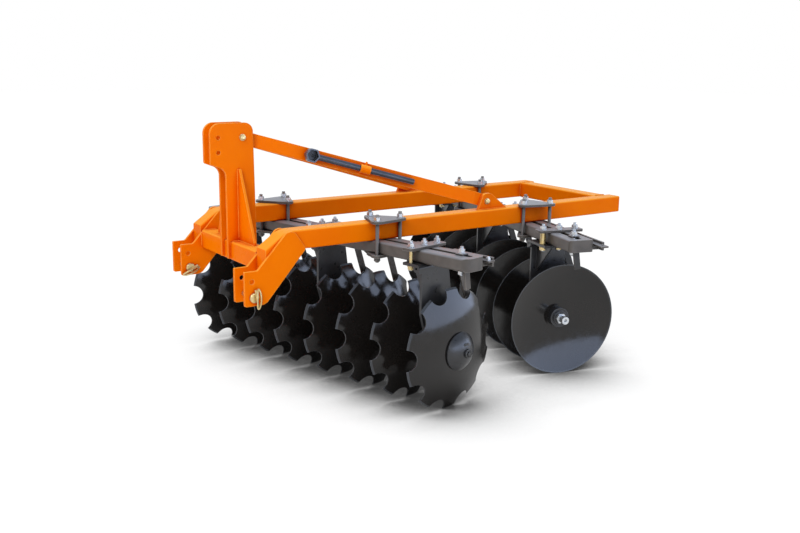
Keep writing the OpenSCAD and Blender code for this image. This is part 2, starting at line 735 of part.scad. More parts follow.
spool_l = disc_pitch - disc_t;
flange_r = 52;
flange_t = 10;
flange_cone = 28;
waist_r = 30;
module spool(bearing) difference() {
    r = bearing ? journal_r : waist_r;
    half = spool_l / 2;
    rotate_extrude()
        polygon([[0, -half], [flange_r, -half], [flange_r, flange_t - half], [r, flange_cone - half],
                 [r, half - flange_cone], [flange_r, half - flange_t], [flange_r, half], [0, half]]);
    square_hole(spool_l);
}
module spools(g) along_axle(g) for (i = [0:disc_n - 2])
    translate([0, 0, gap_y(g, i)]) spool(len(search(i, bearing_gaps)) > 0);
module front_spools() color("dimgray") spools(gangs[0]);
module rear_spools() color("dimgray") spools(gangs[1]);

// domed washer on the convex side of a gang, stepped boss on its hollow side
dome_r = 88;
dome_edge = 6;
dome_rise = washer_l - dome_edge;
dome_sphere_r = (dome_r * dome_r + dome_rise * dome_rise) / (2 * dome_rise);
boss_r = 50;
boss_step_r = 36;
boss_l = 38;
boss_step = 8;
function low_hub(g) = g[col_way] > 0 ? hub_y(g, 0) : -hub_y(g, disc_n - 1);
function high_hub(g) = g[col_way] > 0 ? hub_y(g, disc_n - 1) : -hub_y(g, 0);
module end_washers(g) along_axle(g) {
    translate([0, 0, high_hub(g) + disc_t / 2]) difference() {
        intersection() {
            translate([0, 0, washer_l - dome_sphere_r]) sphere(dome_sphere_r);
            cylinder(r = dome_r, h = 2 * washer_l);
        }
        square_hole(2 * washer_l);
    }
    translate([0, 0, low_hub(g) - disc_t / 2 - boss_l]) difference() {
        union() {
            translate([0, 0, boss_step]) cylinder(r = boss_r, h = boss_l - boss_step);
            cylinder(r = boss_step_r, h = boss_l);
        }
        square_hole(2 * boss_l);
    }
}
module front_end_washers() color("dimgray") end_washers(gangs[0]);
module rear_end_washers() color("dimgray") end_washers(gangs[1]);

// square bar with a six-sided head on the dome and a drilled round stub past the boss
stub_r = 19;
stub_l = 54;
stub_collar_r = 27;
stub_collar_l = 12;
stub_hole_r = 8;
stub_hole_l = 14;
module axle(g) along_axle(g) {
    a = low_hub(g) - disc_t / 2 - boss_l;
    b = high_hub(g) + disc_t / 2 + washer_l;
    translate([-axle_w / 2, -axle_w / 2, a]) cube([axle_w, axle_w, b - a]);
    translate([0, 0, b]) cylinder(r = end_nut_r, h = end_cap_l, $fn = 6);
    translate([0, 0, a - stub_collar_l]) cylinder(r = stub_collar_r, h = stub_collar_l, $fn = 6);
    translate([0, 0, a - stub_l]) difference() {
        cylinder(r = stub_r, h = stub_l);
        translate([0, 0, -over]) cylinder(r = stub_hole_r, h = stub_hole_l);
    }
}
module front_axle() color("gray") axle(gangs[0]);
module rear_axle() color("gray") axle(gangs[1]);

side_beam_left();
side_beam_right();
front_cross_beam();
rear_cross_beam();
mast_plate_left();
mast_plate_right();
mast_gussets();
link_plates_left();
link_plates_right();
link_pin_left();
link_pin_right();
brace_left();
brace_right();
brace_lugs();
brace_bolts();
spanner_holder();
spanner();
front_gang_beam();
rear_gang_beam();
front_clamp_plates();
rear_clamp_plates();
front_clamp_rods();
rear_clamp_rods();
front_hangers();
rear_hangers();
front_straps();
rear_straps();
front_strap_bolts();
rear_strap_bolts();
front_housings();
rear_housings();
front_scraper_bar();
rear_scraper_bar();
front_scrapers();
rear_scrapers();
front_discs();
rear_discs();
front_spools();
rear_spools();
front_end_washers();
rear_end_washers();
front_axle();
rear_axle();
front_end_bolts();
rear_end_bolts();
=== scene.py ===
"""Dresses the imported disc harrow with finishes, fasteners and welds, and sets a plain studio around it."""

import json
import logging
import math
from dataclasses import dataclass
from enum import Enum
from typing import Any, Iterable, Sequence

import bmesh
import bpy
import numpy as np
from mathutils import Matrix, Vector

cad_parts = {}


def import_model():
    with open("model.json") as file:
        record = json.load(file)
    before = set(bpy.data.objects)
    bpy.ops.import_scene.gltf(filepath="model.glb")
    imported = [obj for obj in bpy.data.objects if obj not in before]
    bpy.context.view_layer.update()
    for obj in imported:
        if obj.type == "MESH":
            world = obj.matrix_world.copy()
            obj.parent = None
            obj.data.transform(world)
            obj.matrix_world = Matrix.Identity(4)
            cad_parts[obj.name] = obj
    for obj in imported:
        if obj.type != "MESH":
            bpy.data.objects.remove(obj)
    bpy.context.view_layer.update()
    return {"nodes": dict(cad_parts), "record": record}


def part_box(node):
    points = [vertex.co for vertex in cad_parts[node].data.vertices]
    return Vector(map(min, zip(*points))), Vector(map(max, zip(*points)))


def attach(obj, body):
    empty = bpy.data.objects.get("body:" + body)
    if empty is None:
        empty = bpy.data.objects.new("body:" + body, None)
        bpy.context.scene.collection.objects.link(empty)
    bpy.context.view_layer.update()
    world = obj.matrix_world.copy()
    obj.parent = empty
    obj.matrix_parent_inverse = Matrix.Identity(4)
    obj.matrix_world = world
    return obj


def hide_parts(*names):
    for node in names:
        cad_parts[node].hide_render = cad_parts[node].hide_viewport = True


LOG = logging.getLogger("harrow")
Array = np.ndarray
Point = Sequence[float]

FACE_SHARE = 0.96
THREAD_DEPTH = 0.0009
RIPPLE = 0.006
RIPPLE_SWELL = 0.14
TAPER_LENGTH = 0.006
TAPER_LOW = 0.35


class Slot(Enum):
    """Material slots of the record."""

    ORANGE = "orange_paint"
    STEEL = "dark_steel"
    CASTING = "dark_casting"
    DISC = "disc_steel"
    ZINC = "white_zinc"
    GOLD = "yellow_zinc"
    TOOL = "tool_steel"


class Body(Enum):
    """Bodies that pieces ride on."""

    FRAME = "frame"
    FRONT = "front_gang"
    REAR = "rear_gang"


# shells


@dataclass
class Shell:
    """Points and four-sided faces of a surface."""

    verts: Array
    faces: Array

    def moved(self, by: Point) -> "Shell":
        """Gives the shell shifted by a vector."""
        return Shell(self.verts + np.asarray(by, float), self.faces)

    def turned(self, axes: Array) -> "Shell":
        """Gives the shell with its x, y and z axes laid along the columns of a matrix."""
        return Shell(self.verts @ np.asarray(axes, float).T, self.faces)


def merged(shells: Iterable[Shell]) -> Shell:
    """Puts several shells into one.

    Args:
        shells: shells to put together.

    Returns:
        One shell with the faces of all of them.
    """
    parts = list(shells)
    starts = np.cumsum([0] + [len(part.verts) for part in parts[:-1]])
    faces = [part.faces + start for part, start in zip(parts, starts)]
    return Shell(np.vstack([part.verts for part in parts]), np.vstack(faces))


def grid(points: Array, close_rows: bool = False) -> Shell:
    """Joins a grid of points to a surface that is closed around its columns.

    Args:
        points: array of rows, columns and three coordinates.
        close_rows: joins the last row to the first one as well.

    Returns:
        The surface with one face between each four neighbouring points.
    """
    rows, cols = points.shape[:2]
    index = np.arange(rows * cols).reshape(rows, cols)
    low = index if close_rows else index[:-1]
    high = np.roll(index, -1, axis=0) if close_rows else index[1:]
    quads = np.stack([low, np.roll(low, -1, 1), np.roll(high, -1, 1), high], axis=-1)
    return Shell(points.reshape(-1, 3), quads.reshape(-1, 4))


def around(turns: int) -> Array:
    """Gives evenly spaced angles of one full turn."""
    return np.linspace(0.0, 2.0 * np.pi, turns, endpoint=False)


def lathe(profile: Sequence[Point], turns: int = 20) -> Shell:
    """Turned form: a row of radii and heights carried round the z axis.

    Args:
        profile: pairs of radius and height, from the lower end to the upper end.
        turns: steps around the axis.

    Returns:
        The turned surface; radius 0 at an end closes it.
    """
    angle = around(turns)
    radius, height = np.asarray(profile, float).T
    points = [np.outer(radius, np.cos(angle)), np.outer(radius, np.sin(angle))]
    points.append(np.outer(height, np.ones(turns)))
    return grid(np.stack(points, axis=-1))


def hex_nut(across: float, height: float, bore: float, turns: int = 24) -> Shell:
    """Six-sided nut: half the width over flats divided by the cosine of the angle from the nearest flat.

    The corners are cut back by a cone of 30 degrees, so each flat ends in an arc.

    Args:
        across: width over the flats.
        height: height of the nut.
        bore: radius of the hole.
        turns: steps around the axis, a multiple of twelve.

    Returns:
        The nut, standing on z 0.
    """
    angle = around(turns)
    wall = across / 2 / np.cos((angle + np.pi / 6) % (np.pi / 3) - np.pi / 6)
    face = np.full(turns, across / 2 * FACE_SHARE)
    drop = (wall - face) * math.tan(math.radians(30))
    hole = np.full(turns, bore)
    radius = np.stack([hole, face, wall, wall, face, hole])
    floor, top = np.zeros(turns), np.full(turns, height)
    rise = np.stack([floor, floor, drop, height - drop, top, top])
    points = np.stack([radius * np.cos(angle), radius * np.sin(angle), rise], axis=-1)
    return grid(points, close_rows=True)


def stud(radius: float, low: float, high: float, threads: Sequence[Point], pitch: float = 0.0025) -> Shell:
    """Round bar with ring-shaped thread crests: the radius falls and rises once for each pitch.

    Args:
        radius: outer radius.
        low: lower end.
        high: upper end.
        threads: pairs of heights between which the bar is threaded.
        pitch: distance between two crests, drawn coarser than the real thread so that it shows.

    Returns:
        The closed bar along z.
    """
    chamfer = radius * 0.25
    rows = [[0.0, low], [radius - chamfer, low], [radius, low + chamfer]]
    for start, end in threads:
        steps = max(int((end - start) / pitch * 2), 2)
        height = np.linspace(start, end, steps)
        crest = radius - THREAD_DEPTH * (np.arange(steps) % 2)
        rows += np.stack([crest, height], axis=-1).tolist()
    rows += [[radius, high - chamfer], [radius - chamfer, high], [0.0, high]]
    return lathe(rows, 12)


def block(size: Point, round_off: float, turns: int = 32) -> Shell:
    """Flat block with round corners and edges: a superellipse of power 8, drawn in towards both faces.

    Args:
        size: length along x, y and z.
        round_off: how far the upper and lower edges are rounded.
        turns: steps around the z axis.

    Returns:
        The closed block, standing on z 0 about the z axis.
    """
    angle = around(turns)
    reach = (np.abs(np.cos(angle)) ** 8 + np.abs(np.sin(angle)) ** 8) ** (-1 / 8)
    curve, tall = round_off * 0.3, size[2]
    inset = np.array([1.0, round_off, curve, 0.0, 0.0, curve, round_off, 1.0])
    rise = np.array([0.0, 0.0, curve, round_off, tall - round_off, tall - curve, tall, tall])
    half_x = np.where(inset < 1.0, size[0] / 2 - inset, 0.0)
    half_y = np.where(inset < 1.0, size[1] / 2 - inset, 0.0)
    points = [np.outer(half_x, reach * np.cos(angle)), np.outer(half_y, reach * np.sin(angle))]
    points.append(np.outer(rise, np.ones(turns)))
    return grid(np.stack(points, axis=-1))


def sweep(path: Array, radius: Array, up: Point, sides: int = 8, closed: bool = False) -> Shell:
    """Round section carried along a path: points at a radius from the path, square to its direction.

    Args:
        path: points of the path.
        radius: radius at each point of the path.
        up: direction that is never along the path.
        sides: steps around the section.
        closed: the path returns to its start.

    Returns:
        The closed tube.
    """
    if closed:
        along = np.roll(path, -1, 0) - np.roll(path, 1, 0)
    else:
        along = np.gradient(path, axis=0)
    along = along / np.linalg.norm(along, axis=1, keepdims=True)
    side = np.cross(along, np.asarray(up, float))
    side = side / np.linalg.norm(side, axis=1, keepdims=True)
    over = np.cross(side, along)
    angle = around(sides)
    ring = np.cos(angle)[None, :, None] * side[:, None] + np.sin(angle)[None, :, None] * over[:, None]
    points = path[:, None] + ring * np.asarray(radius)[:, None, None]
    if not closed:
        ends = [np.repeat(path[i][None, None], sides, 1) for i in (0, -1)]
        points = np.concatenate([ends[0], points, ends[1]])
    return grid(points, close_rows=closed)


def weld(start: Point, end: Point, radius: float = 0.0042) -> Shell:
    """Weld bead: a round section along a line, swelling once for each ripple and tapering at its ends.

    Args:
        start: first end of the seam.
        end: other end of the seam.
        radius: middle radius of the bead.

    Returns:
        The closed bead.
    """
    first, last = np.asarray(start, float), np.asarray(end, float)
    length = float(np.linalg.norm(last - first))
    steps = max(int(length / RIPPLE * 3), 6)
    share = np.linspace(0.0, 1.0, steps)
    swell = 1.0 + RIPPLE_SWELL * np.sin(2 * np.pi * share * length / RIPPLE)
    taper = np.clip(np.minimum(share, 1 - share) * length / TAPER_LENGTH, TAPER_LOW, 1.0)
    up = (0.31, 0.17, 0.94) if abs(last[2] - first[2]) < 0.5 * length else (0.9, 0.4, 0.1)
    return sweep(first + share[:, None] * (last - first), radius * swell * taper, up, 6)


# nodes and finishes


def linear(code: str) -> tuple[float, float, float, float]:
    """Turns an sRGB hex value to linear red, green, blue and alpha.

    Args:
        code: six hex digits after a hash sign.

    Returns:
        The linear colour.
    """
    parts = [int(code[i:i + 2], 16) / 255 for i in (1, 3, 5)]
    lin = [p / 12.92 if p <= 0.04045 else ((p + 0.055) / 1.055) ** 2.4 for p in parts]
    return lin[0], lin[1], lin[2], 1.0


def add(tree: Any, kind: str, settings: dict[str, Any], inputs: dict[Any, Any]) -> Any:
    """Adds a node with its settings, and sets or links its inputs.

    Args:
        tree: node tree.
        kind: type of the node.
        settings: the node's own properties.
        inputs: value or output socket for each input, by name or number.

    Returns:
        The new node.
    """
    node = tree.nodes.new(kind)
    for key, value in settings.items():
        setattr(node, key, value)
    for key, value in inputs.items():
        if isinstance(value, bpy.types.NodeSocket):
            tree.links.new(value, node.inputs[key])
        else:
            node.inputs[key].default_value = value
    return node


PER_METRE = 1000
DRIFT_RANGE = (0.36, 0.66)
EDGE_WEAR_AND_HIGHLIGHT_RANGE = (0.992, 0.86)
PATCH_WIDTH = 26
PATCH_RANGE = (0.25, 0.6)
PATCH_LOW = 0.45
PAINTED_TOP_LIGHT_RANGE = (0.1, 0.9)
PAINTED_SHADE_RANGE = (0.3, 0.85)
GLOSS_RANGE = (0.3, 0.7)
RELIEF = 0.6
RIM_START = 0.273
RIM_BLEND = 0.0012


@dataclass(frozen=True)
class Finish:
    """A surface: two tones that drift into each other, a pale edge mark, gloss and a fine relief.

    The edge mark is partly wear and partly a painted highlight. A painted top light makes faces that look up
    paler, and a painted shade darkens corners that little light reaches, found by ambient occlusion.
    Sizes are in millimetres: drift is the width of the tone patches, grain the width of the relief, edge the
    width of the edge mark, and painted shade reach how far a corner looks for what shuts out its light.
    """

    name: str
    base: str
    drift_tone: str
    edge_wear_and_highlight_tone: str
    metallic: float
    specular: float
    roughness: float
    rough_spread: float
    coat: float
    coat_roughness: float
    drift: float
    grain: float
    grain_depth: float
    edge: float
    edge_wear_and_highlight_share: float
    painted_top_light_tone: str = ""
    painted_top_light_share: float = 0.0
    painted_shade_tone: str = ""
    painted_shade_reach: float = 0.0

    def tone(self, tree: Any, place: Any) -> Any:
        """Gives the colour before the painted light and shade and the edge mark: the two tones mixed by a
        soft noise.

        Args:
            tree: node tree.
            place: socket with the point on the piece.

        Returns:
            Colour socket.
        """
        noise = add(tree, "ShaderNodeTexNoise", {}, {"Vector": place, "Scale": PER_METRE / self.drift,
                                                     "Detail": 4.0, "Roughness": 0.6})
        spread = add(tree, "ShaderNodeMapRange", {}, {
            0: noise.outputs[0], 1: DRIFT_RANGE[0], 2: DRIFT_RANGE[1]})
        mix = add(tree, "ShaderNodeMix", {"data_type": "RGBA"}, {0: spread.outputs[0], 6: linear(self.base),
                                                                 7: linear(self.drift_tone)})
        return mix.outputs[2]

    def build(self) -> Any:
        """Makes the material: tones, an edge mark found by the bevel node that is partly wear and partly a
        painted highlight, painted top light, painted shade in corners, gloss and relief.

        Returns:
            The finished material.
        """
        material = bpy.data.materials.new(self.name)
        material.use_nodes = True
        tree = material.node_tree
        tree.nodes.clear()
        place = add(tree, "ShaderNodeTexCoord", {}, {}).outputs["Object"]
        grain = add(tree, "ShaderNodeTexNoise", {}, {
            "Vector": place, "Scale": PER_METRE / self.grain, "Detail": 2.0})
        soft = add(tree, "ShaderNodeBevel", {"samples": 8}, {"Radius": self.edge / PER_METRE})
        normal = add(tree, "ShaderNodeNewGeometry", {}, {}).outputs["Normal"]
        # Edge mark where the bevel normal turns away from the face: partly wear, partly a painted highlight
        # along edges.
        turn = add(tree, "ShaderNodeVectorMath", {"operation": "DOT_PRODUCT"}, {
            0: soft.outputs[0], 1: normal})
        worn_and_lit_edges = add(tree, "ShaderNodeMapRange", {}, {
            0: turn.outputs["Value"], 1: EDGE_WEAR_AND_HIGHLIGHT_RANGE[0], 2: EDGE_WEAR_AND_HIGHLIGHT_RANGE[1]})
        patchy = add(tree, "ShaderNodeTexNoise", {}, {
            "Vector": place, "Scale": PER_METRE / PATCH_WIDTH, "Detail": 3.0})
        broken = add(tree, "ShaderNodeMapRange", {}, {
            0: patchy.outputs[0], 1: PATCH_RANGE[0], 2: PATCH_RANGE[1], 3: PATCH_LOW, 4: 1.0})
        share = add(tree, "ShaderNodeMath", {"operation": "MULTIPLY"}, {
            0: worn_and_lit_edges.outputs[0], 1: broken.outputs[0]})
        edge_wear_and_highlight = add(tree, "ShaderNodeMath", {"operation": "MULTIPLY"}, {
            0: share.outputs[0], 1: self.edge_wear_and_highlight_share})
        tone = self.tone(tree, place)
        # Painted top light: faces that look up mix towards a paler tone, standing in for the sky's light and
        # reflection.
        if self.painted_top_light_tone:
            rise = add(tree, "ShaderNodeSeparateXYZ", {}, {0: normal}).outputs[2]
            painted_top_light = add(tree, "ShaderNodeMapRange", {}, {
                0: rise, 1: PAINTED_TOP_LIGHT_RANGE[0], 2: PAINTED_TOP_LIGHT_RANGE[1], 4: self.painted_top_light_share})
            tone = add(tree, "ShaderNodeMix", {"data_type": "RGBA"}, {
                0: painted_top_light.outputs[0], 6: tone, 7: linear(self.painted_top_light_tone)}).outputs[2]
        # Painted shade: corners that ambient occlusion finds closed in mix towards a darker tone.
        if self.painted_shade_tone:
            painted_shade_ao = add(tree, "ShaderNodeAmbientOcclusion", {"samples": 8}, {
                "Distance": self.painted_shade_reach / PER_METRE})
            clear = add(tree, "ShaderNodeMapRange", {}, {
                0: painted_shade_ao.outputs["AO"], 1: PAINTED_SHADE_RANGE[0], 2: PAINTED_SHADE_RANGE[1]})
            tone = add(tree, "ShaderNodeMix", {"data_type": "RGBA"}, {
                0: clear.outputs[0], 6: linear(self.painted_shade_tone), 7: tone}).outputs[2]
        colour = add(tree, "ShaderNodeMix", {"data_type": "RGBA"}, {
            0: edge_wear_and_highlight.outputs[0], 6: tone, 7: linear(self.edge_wear_and_highlight_tone)})
        gloss = add(tree, "ShaderNodeMapRange", {}, {
            0: patchy.outputs[0], 1: GLOSS_RANGE[0], 2: GLOSS_RANGE[1],
            3: self.roughness - self.rough_spread, 4: self.roughness + self.rough_spread})
        bump = add(tree, "ShaderNodeBump", {}, {
            "Height": grain.outputs[0], "Strength": RELIEF, "Distance": self.grain_depth / PER_METRE,
            "Normal": soft.outputs[0]})
        shader = add(tree, "ShaderNodeBsdfPrincipled", {}, {
            "Base Color": colour.outputs[2], "Metallic": self.metallic, "Roughness": gloss.outputs[0],
            "Specular IOR Level": self.specular, "Coat Weight": self.coat,
            "Coat Roughness": self.coat_roughness, "Normal": bump.outputs[0]})
        add(tree, "ShaderNodeOutputMaterial", {}, {"Surface": shader.outputs[0]})
        return material


@dataclass(frozen=True)
class DiscFinish(Finish):
    """Lacquered disc steel whose ground rim is a paler ring at a radius from the axle."""

    origin: tuple[float, float, float] = (0.0, 0.0, 0.0)
    angle: float = 0.0
    rim_start: float = 0.0
    rim_tone: str = "#3A3D42"

    def tone(self, tree: Any, place: Any) -> Any:
        """Gives the lacquer tones with the rim ring over them.

        Args:
            tree: node tree.
            place: socket with the point on the piece.

        Returns:
            Colour socket.
        """
        lacquer = super().tone(tree, place)
        shift = -(Matrix.Rotation(-self.angle, 3, "Z") @ Vector(self.origin))
        local = add(tree, "ShaderNodeMapping", {}, {"Vector": place, "Location": shift,
                                                    "Rotation": (0.0, 0.0, -self.angle)})
        flat = add(tree, "ShaderNodeVectorMath", {"operation": "MULTIPLY"}, {0: local.outputs[0],
                                                                             1: (1.0, 0.0, 1.0)})
        radius = add(tree, "ShaderNodeVectorMath", {"operation": "LENGTH"}, {0: flat.outputs[0]})
        ring = add(tree, "ShaderNodeMapRange", {}, {0: radius.outputs["Value"], 1: self.rim_start,
                                                    2: self.rim_start + RIM_BLEND})
        mix = add(tree, "ShaderNodeMix", {"data_type": "RGBA"}, {0: ring.outputs[0], 6: lacquer,
                                                                 7: linear(self.rim_tone)})
        return mix.outputs[2]


# Enamel sprayed over steel: an even, strong colour with a soft gloss, paler at edges, partly where it draws
# thin and partly as a painted highlight; a painted yellow top light on faces that look up, a painted red
# shade in corners.
ENAMEL = Finish("orange_enamel_on_steel", "#F57A00", "#F17200", "#FFB450", 0.0, 0.02, 0.3, 0.05, 0.0, 0.12,
                220, 16.0, 0.04, 4.5, 0.9, "#FBAC3A", 0.8, "#CC3400", 50)
# Hot-rolled steel under thin dark paint: brown-grey, satin, pale along its edges, partly rubbed and partly as
# a painted highlight; a painted pale sky reflection on faces that look up, a painted dark shade in corners.
STEEL = Finish("dark_painted_rolled_steel", "#58534F", "#4B4744", "#BDB8B4", 0.0, 0.3, 0.38, 0.06, 0.05, 0.12,
               70, 14.0, 0.02, 2.4, 0.8, "#8E8F95", 0.8, "#2E2A28", 40)
# The same steel on the rear scrapers, painted darker as the shade that the rear gang lies in, with the same
# painted edge highlight, top light and corner shade, weaker.
SHADED_STEEL = Finish("painted_shade_on_rolled_steel", "#3B3937", "#31302E", "#86827E", 0.0, 0.3, 0.38, 0.06, 0.05, 0.12,
               70, 14.0, 0.02, 2.4, 0.7, "#5A5A5E", 0.6, "#1E1C1B", 40)
# Sand casting under black paint: a soft sheen over a fine pebbled skin; pale edges, partly wear and partly a
# painted highlight, and a painted near-black shade in corners.
CASTING = Finish("black_painted_cast_iron", "#2B2B2D", "#222224", "#6A6D72", 0.0, 0.45, 0.32, 0.06, 0.1, 0.2,
                 40, 7.0, 0.2, 2.4, 0.5, "", 0.0, "#121213", 30)
# Bright zinc plating: pale, slightly cloudy metal.
ZINC = Finish("bright_zinc_plated_steel", "#D2D4D5", "#BEC1C4", "#F4F5F5", 0.8, 0.5, 0.28, 0.06, 0.0, 0.1,
              14, 4.0, 0.03, 0.8, 0.6)
# Yellow chromate over zinc: pale brass colour with cooler patches.
GOLD = Finish("yellow_zinc_plated_steel", "#D9BE7E", "#C6B48A", "#F4E8BE", 0.75, 0.5, 0.3, 0.06, 0.0, 0.1,
              16, 4.0, 0.03, 0.8, 0.6)
# Oiled, blued tool steel: blue-grey with a low sheen; pale edges, partly wear and partly a painted highlight,
# and a painted near-black shade in its recesses.
TOOL = Finish("blued_tool_steel", "#474D5A", "#3A3F49", "#828C9A", 0.3, 0.5, 0.36, 0.06, 0.1, 0.2,
              50, 7.0, 0.08, 2.0, 0.6, "", 0.0, "#07080A", 40)
# Black lacquer on pressed disc steel: near black, smooth enough to mirror the sky softly; a thin pale line
# along its edges, partly wear and partly a painted highlight.
DISC = dict(name="black_lacquered_disc_steel", base="#1A1817", drift_tone="#201D1B", edge_wear_and_highlight_tone="#8A8F97",
            metallic=0.0, specular=0.38, roughness=0.13, rough_spread=0.04, coat=0.0, coat_roughness=0.06,
            drift=150, grain=60.0, grain_depth=0.25, edge=1.4, edge_wear_and_highlight_share=0.8)


# places on the machine


@dataclass(frozen=True)
class GangPlace:
    """Where a gang's axle lies: a point on it, the direction along it to the left, and how its discs bulge.

    The discs stand at one pitch about a middle that is shifted along the axle.
    """

    name: str
    body: Body
    origin: tuple[float, float, float]
    along: tuple[float, float]
    way: int
    shift: float
    pitch: float = 0.226
    count: int = 8

    @property
    def bearings(self) -> tuple[int, int, int]:
        """Numbers of the gaps between discs that hold a bearing."""
        return 0, (self.count - 1) // 2, self.count - 2

    def hub(self, number: int) -> float:
        """Gives the place of a disc along the axle."""
        return self.shift + (number - (self.count - 1) / 2) * self.pitch

    def gap(self, number: int) -> float:
        """Gives the middle between a disc and the next one along the axle."""
        return self.shift + (number - (self.count - 1) / 2 + 0.5) * self.pitch

    @property
    def angle(self) -> float:
        """Turn of the gang about z."""
        return math.atan2(-self.along[0], self.along[1])

    @property
    def axes(self) -> Array:
        """Columns: ahead of the axle, along it, up."""
        x, y = self.along
        return np.array([[y, x, 0.0], [-x, y, 0.0], [0.0, 0.0, 1.0]])

    def put(self, shell: Shell, ahead: float, along: float, height: float) -> Shell:
        """Sets a shell into the gang's frame.

        Args:
            shell: shell drawn about its own origin.
            ahead: distance ahead of the axle.
            along: distance along the axle to the left.
            height: height over the ground.

        Returns:
            The shell in the machine's frame.
        """
        spot = self.axes @ np.array([ahead, along, 0.0]) + np.array([self.origin[0], self.origin[1], height])
        return shell.turned(self.axes).moved(spot)


def gang_places(record: dict[str, Any]) -> list[GangPlace]:
    """Reads the two axle lines from the record's hinge joints.

    Args:
        record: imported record.

    Returns:
        Front gang and rear gang.
    """
    joints = {joint["name"]: joint for joint in record["behaviour"]["joints"]}
    places = []
    for name, body, way, shift in (("front", Body.FRONT, 1, 0.005), ("rear", Body.REAR, -1, -0.185)):
        joint = joints[name + "_gang_spin"]
        places.append(GangPlace(name, body, tuple(joint["pos_m"]), tuple(joint["axis"][:2]), way, shift))
    return places


# pieces


@dataclass
class Workshop:
    """Holds the finished materials and turns shells into pieces."""

    materials: dict[Slot, Any]

    def piece(self, name: str, shells: Iterable[Shell], slot: Slot, body: Body,
              stands_for: Sequence[str] = ()) -> Any:
        """Makes one piece of several closed shells.

        Args:
            name: name of the piece.
            shells: its shells in the machine's frame.
            slot: slot that its finish comes from.
            body: body that it rides on.
            stands_for: CAD nodes that it replaces.

        Returns:
            The new object.
        """
        shell = merged(shells)
        mesh = bpy.data.meshes.new(name)
        mesh.from_pydata(shell.verts.tolist(), [], shell.faces.tolist())
        work = bmesh.new()
        work.from_mesh(mesh)
        bmesh.ops.remove_doubles(work, verts=work.verts, dist=1e-6)
        bmesh.ops.dissolve_degenerate(work, edges=work.edges, dist=1e-7)
        bmesh.ops.recalc_face_normals(work, faces=work.faces)
        work.to_mesh(mesh)
        work.free()
        mesh.shade_smooth()
        mesh.set_sharp_from_angle(angle=math.radians(38))
        mesh.materials.append(self.materials[slot])
        obj = bpy.data.objects.new(name, mesh)
        bpy.context.scene.collection.objects.link(obj)
        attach(obj, body.value)
        if stands_for:
            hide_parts(*stands_for)
        LOG.info("%s: %d faces on %s", name, len(mesh.polygons), body.value)
        return obj


